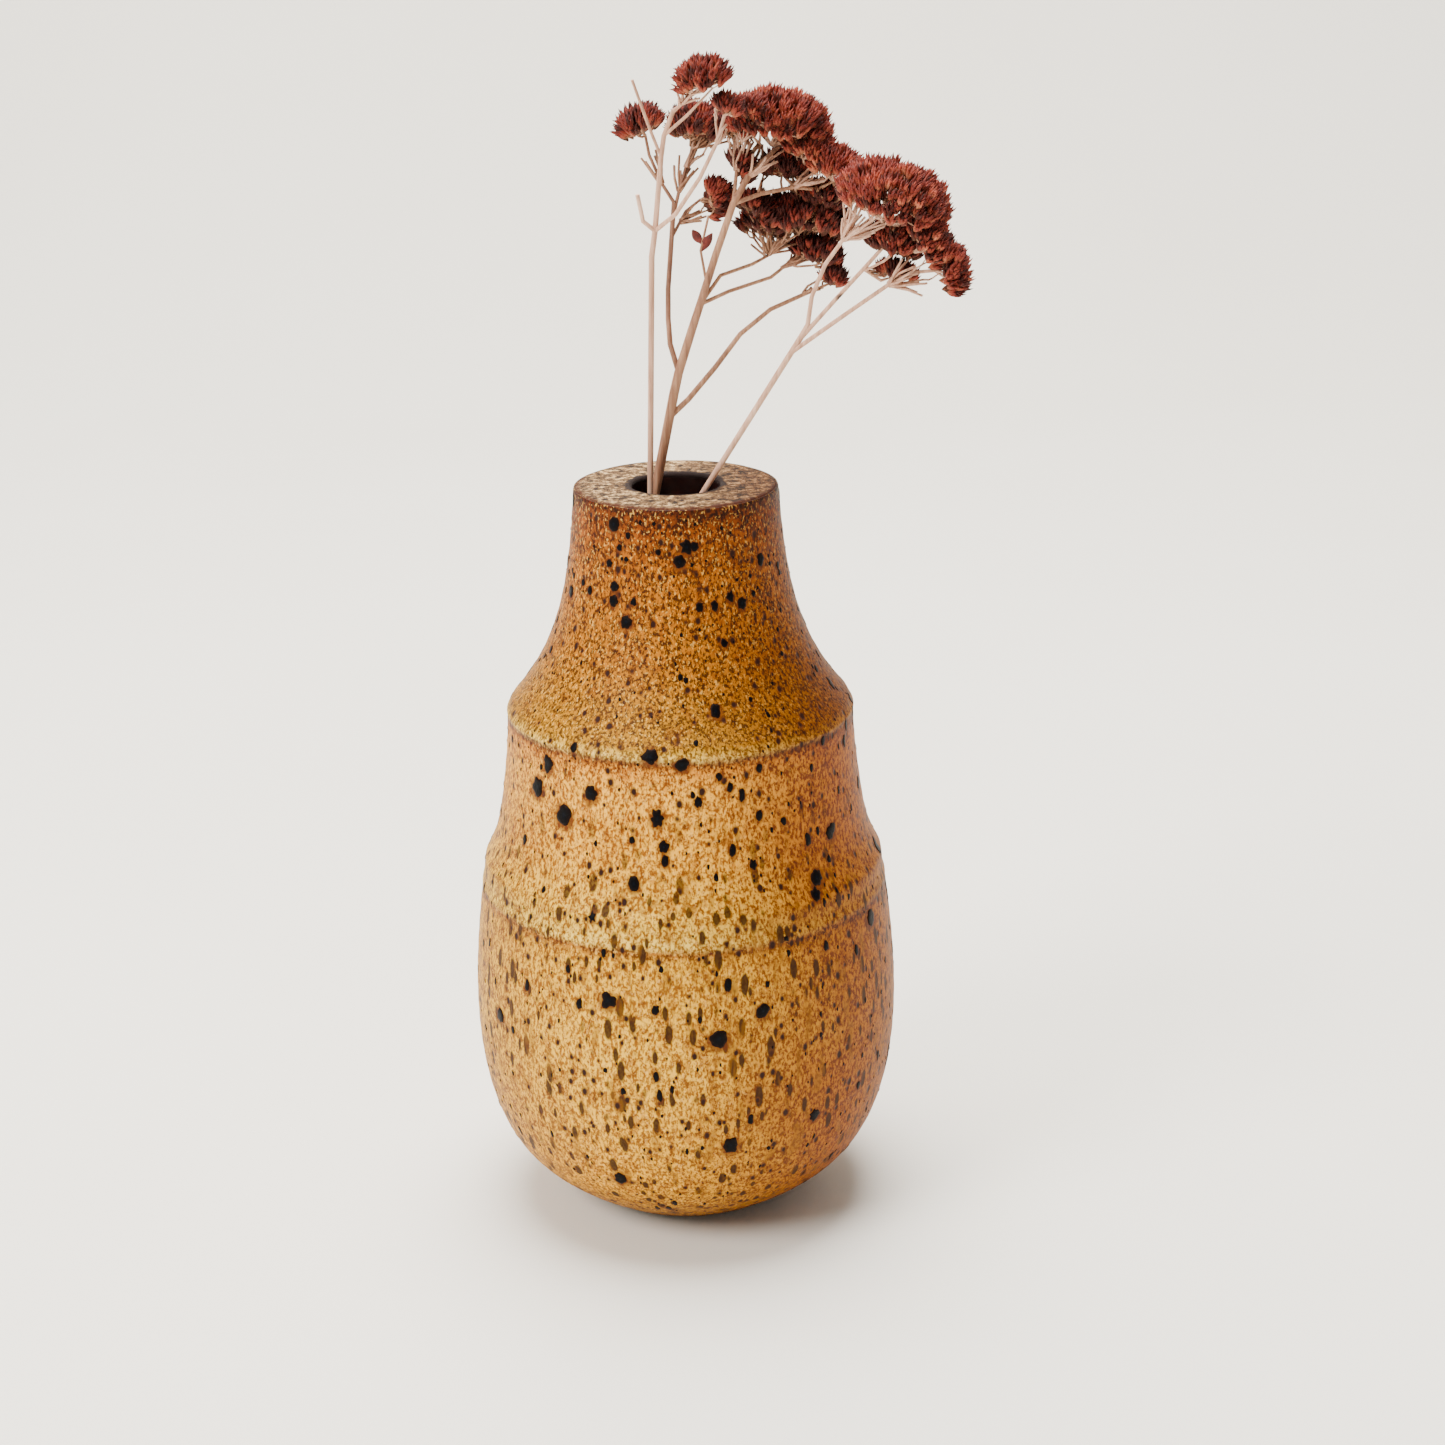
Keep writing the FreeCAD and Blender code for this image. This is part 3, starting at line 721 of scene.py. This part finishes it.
def flower_head(name, head, twigs, body, shade, follicle_material, stalk_material, seed):
    """Stars of five seed cases over the dome, on fine forking stalks."""
    rng = random.Random(seed + 50)
    flowers = flower_places(head, seed)
    cases, case_faces, along, tint_and_shade = [], [], [], []
    for tip, points, depth, level in flowers:
        length = rng.uniform(2.9, 3.9) * MM
        root = tip - points * length
        spin = rng.uniform(0, math.tau)
        flat = points.orthogonal().normalized()
        cross = points.cross(flat)
        # Painted shade: a flower is darker the more shaded its head is, on the inner layer and low on the dome, on
        # top of a random tint
        colour = 0.46 + rng.uniform(-0.32, 0.50) - 0.55 * shade - 0.25 * depth - (0.12 if level < 0.15 else 0)
        for k in range(5):
            turn = spin + math.tau * k / 5
            lean = rng.uniform(0.20, 0.42)
            direction = (points + (flat * math.cos(turn) + cross * math.sin(turn)) * lean).normalized()
            before = len(cases)
            follicle(root, direction, length * rng.uniform(0.85, 1.05), rng.uniform(0.70, 0.95) * MM,
                     cases, case_faces, along)
            tint_and_shade += [min(1, max(0, colour + rng.uniform(-0.12, 0.12)))] * (len(cases) - before)
    seed_cases = mesh_object(name + "_flowers", cases, case_faces, follicle_material)
    float_attribute(seed_cases, "along", along)
    float_attribute(seed_cases, "tint_and_shade", tint_and_shade)
    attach(seed_cases, body)
    if name in HEADS:
        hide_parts(name)

    base = head[0]
    starts = [base]
    for twig in twigs:
        points = node_points(twig)
        reach = np.linalg.norm(points - np.array(base), axis=1)
        starts += [Vector(p) for p in points[(reach > FAN_START[0]) & (reach < FAN_START[1])]]
    vertices, faces, stalk_along = [], [], []
    fan_of_stalks(starts, flowers, rng, vertices, faces, stalk_along)
    stalks = mesh_object(name + "_stalks", vertices, faces, stalk_material)
    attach(stalks, body)


def curled_leaves(material):
    """The two shrivelled leaves, as folded and curled blades where the CAD plates stand."""
    low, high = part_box("withered_leaves")
    middle_x = nodes["leaf_twig"].data.vertices[0].co.x
    vertices, faces = [], []
    spans = ((Vector((middle_x - 1.0 * MM, low.y, low.z)), Vector((high.x, low.y, high.z - 0.6 * MM))),
             (Vector((middle_x - 0.8 * MM, high.y, low.z + 1.4 * MM)), Vector((low.x, high.y, high.z))))
    for root, tip in spans:
        steps, start = 10, len(vertices)
        axis = tip - root
        across = Vector((-axis.z, 0, axis.x)).normalized()
        for layer in (0.0, 0.18 * MM):
            for i in range(steps + 1):
                share = i / steps
                width = 0.95 * MM * math.sin(math.pi * min(0.97, max(0.06, share))) ** 0.8
                for j in (-1, -0.5, 0, 0.5, 1):
                    curl = 0.5 * MM * abs(j) ** 1.5 + 0.35 * MM * math.sin(3 * share + j)
                    point = root + axis * share + across * width * j
                    vertices.append(point + Vector((0, curl * 0.6 + layer, 0)))
        row, layer_size = 5, 5 * (steps + 1)
        for i in range(steps):
            for j in range(4):
                a = start + i * row + j
                b = a + layer_size
                faces.append((a, a + 1, a + row + 1, a + row))
                faces.append((b, b + row, b + row + 1, b + 1))
            for j in (0, 4):
                a = start + i * row + j
                b = a + layer_size
                side_face = (a, a + row, b + row, b)
                faces.append(side_face if j == 0 else side_face[::-1])
        for i in (0, steps):
            for j in range(4):
                a = start + i * row + j
                b = a + layer_size
                end_face = (a, b, b + 1, a + 1)
                faces.append(end_face if i == 0 else end_face[::-1])
    leaves = mesh_object("curled_leaves", vertices, faces, material)
    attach(leaves, "middle_stem")
    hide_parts("withered_leaves")


def paint(node, material):
    """Gives a CAD node its finished material."""
    mesh = nodes[node].data
    mesh.materials.clear()
    mesh.materials.append(material)


# ---------------------------------------------------------------- the studio

def backdrop():
    """A pale floor that sweeps up behind the vase."""
    front, flat_end, curve_r, top, half = -1.6, 0.75, 0.55, 2.6, 2.6
    outline = [(front, 0.0), (flat_end, 0.0)]
    for i in range(1, 17):
        turn = math.pi / 2 * i / 16
        outline.append((flat_end + curve_r * math.sin(turn), curve_r * (1 - math.cos(turn))))
    outline.append((flat_end + curve_r, top))
    vertices = [(x, y, z) for y, z in outline for x in (-half, half)]
    faces = [(2 * i, 2 * i + 1, 2 * i + 3, 2 * i + 2) for i in range(len(outline) - 1)]
    s = Shader("paper")
    paper = s.ramp(s.noise(3, 3), [(0.3, srgb(238, 234, 225)), (0.7, srgb(243, 240, 232))])
    sheet = mesh_object("backdrop", vertices, faces, s.finish(paper, 0.9, s.noise(900, 2), 0.03))


def area_light(name, place_at, look_at, size, power, colour):
    """A round soft lamp. Places and size are in metres, power in watts."""
    data = bpy.data.lights.new(name, "AREA")
    data.shape = "DISK"
    data.size = size
    data.energy = power
    data.color = colour
    lamp = bpy.data.objects.new(name, data)
    lamp.location = place_at
    lamp.rotation_euler = (Vector(look_at) - Vector(place_at)).to_track_quat("-Z", "Y").to_euler()
    bpy.context.scene.collection.objects.link(lamp)


def studio():
    """The backdrop, a window on the left in front, a wide ceiling lamp and the light of a pale room."""
    backdrop()
    area_light("window", (-0.95, -0.75, 1.0), (0, 0, 0.10), 0.7, 27, (1.0, 0.965, 0.91))
    area_light("ceiling", (-0.05, 0.25, 1.5), (0, 0, 0.1), 1.1, 72, (1.0, 0.97, 0.92))
    world = bpy.data.worlds.new("room")
    world.use_nodes = True
    background = world.node_tree.nodes["Background"]
    background.inputs["Color"].default_value = srgb(240, 236, 230)
    background.inputs["Strength"].default_value = 0.38
    bpy.context.scene.world = world


# The camera's place and lens in mm, and how far it tilts down and rolls in degrees
CAMERA_PLACE = (9.2, -578.7, 309.7)
CAMERA_LENS = 69.17
CAMERA_TILT_DOWN = 18.98
CAMERA_ROLL = -0.92


def camera():
    """Looking down at the vase from in front, a little above the flowers."""
    data = bpy.data.cameras.new("camera")
    data.lens = CAMERA_LENS
    data.sensor_width = 36.0
    data.clip_start = 0.01
    eye = bpy.data.objects.new("camera", data)
    tilt = Matrix.Rotation(math.radians(90 - CAMERA_TILT_DOWN), 4, "X")
    roll = Matrix.Rotation(math.radians(CAMERA_ROLL), 4, "Z")
    eye.matrix_world = Matrix.Translation(Vector(CAMERA_PLACE) * MM) @ tilt @ roll
    bpy.context.scene.collection.objects.link(eye)
    bpy.context.scene.camera = eye


# ---------------------------------------------------------------- build

camera()
studio()

spots = spot_list()
glaze_coat(speckled_glaze(), spots)
iron_spots(iron_spot_material(), spots)
bare_clay = stoneware()
for node in ("clay_belly", "clay_shoulder", "clay_neck"):
    paint(node, bare_clay)
paint("liner_glaze", liner())

# Stalk colours. The dark one is painted shade on the twigs of the darkest heads, and tan is painted shade on the
# fine stalks of shaded heads as well as the colour of the remaining CAD stalks
pale = dry_stalk("pale_stalk", srgb(226, 186, 160), srgb(196, 150, 124), srgb(134, 92, 70))
tan = dry_stalk("tan_stalk", srgb(196, 152, 120), srgb(158, 112, 84), srgb(98, 62, 44))
dark = dry_stalk("dark_stalk", srgb(166, 120, 94), srgb(128, 86, 64), srgb(74, 44, 32))
painted = ("clay_belly", "clay_shoulder", "clay_neck", "outer_glaze", "liner_glaze", "withered_leaves")
for node in nodes:
    if node in HEADS or node in painted:
        continue
    if node.startswith(("left_", "right_")):
        paint(node, pale)
    # Twigs of the darkest heads: painted shade
    elif node.startswith("dark_"):
        paint(node, dark)
    else:
        paint(node, tan)

seed_cases = dry_follicle()
for number, (name, (twigs, body, shade)) in enumerate(HEADS.items()):
    # Shaded heads get tan fine stalks: painted shade
    stalks = tan if shade > 0.4 else pale
    flower_head(name, head_frame(name), twigs, body, shade, seed_cases, stalks, 100 + number)
for number, (name, (first, second, share, size, twig, shade)) in enumerate(JOINING_CLUSTERS.items()):
    cluster = between_heads(first, second, share, size)
    body = HEADS[first][1]
    # Shaded clusters get tan fine stalks: painted shade
    stalks = tan if shade > 0.4 else pale
    flower_head(name, cluster, [twig], body, shade, seed_cases, stalks, 200 + number)
curled_leaves(dry_leaf())
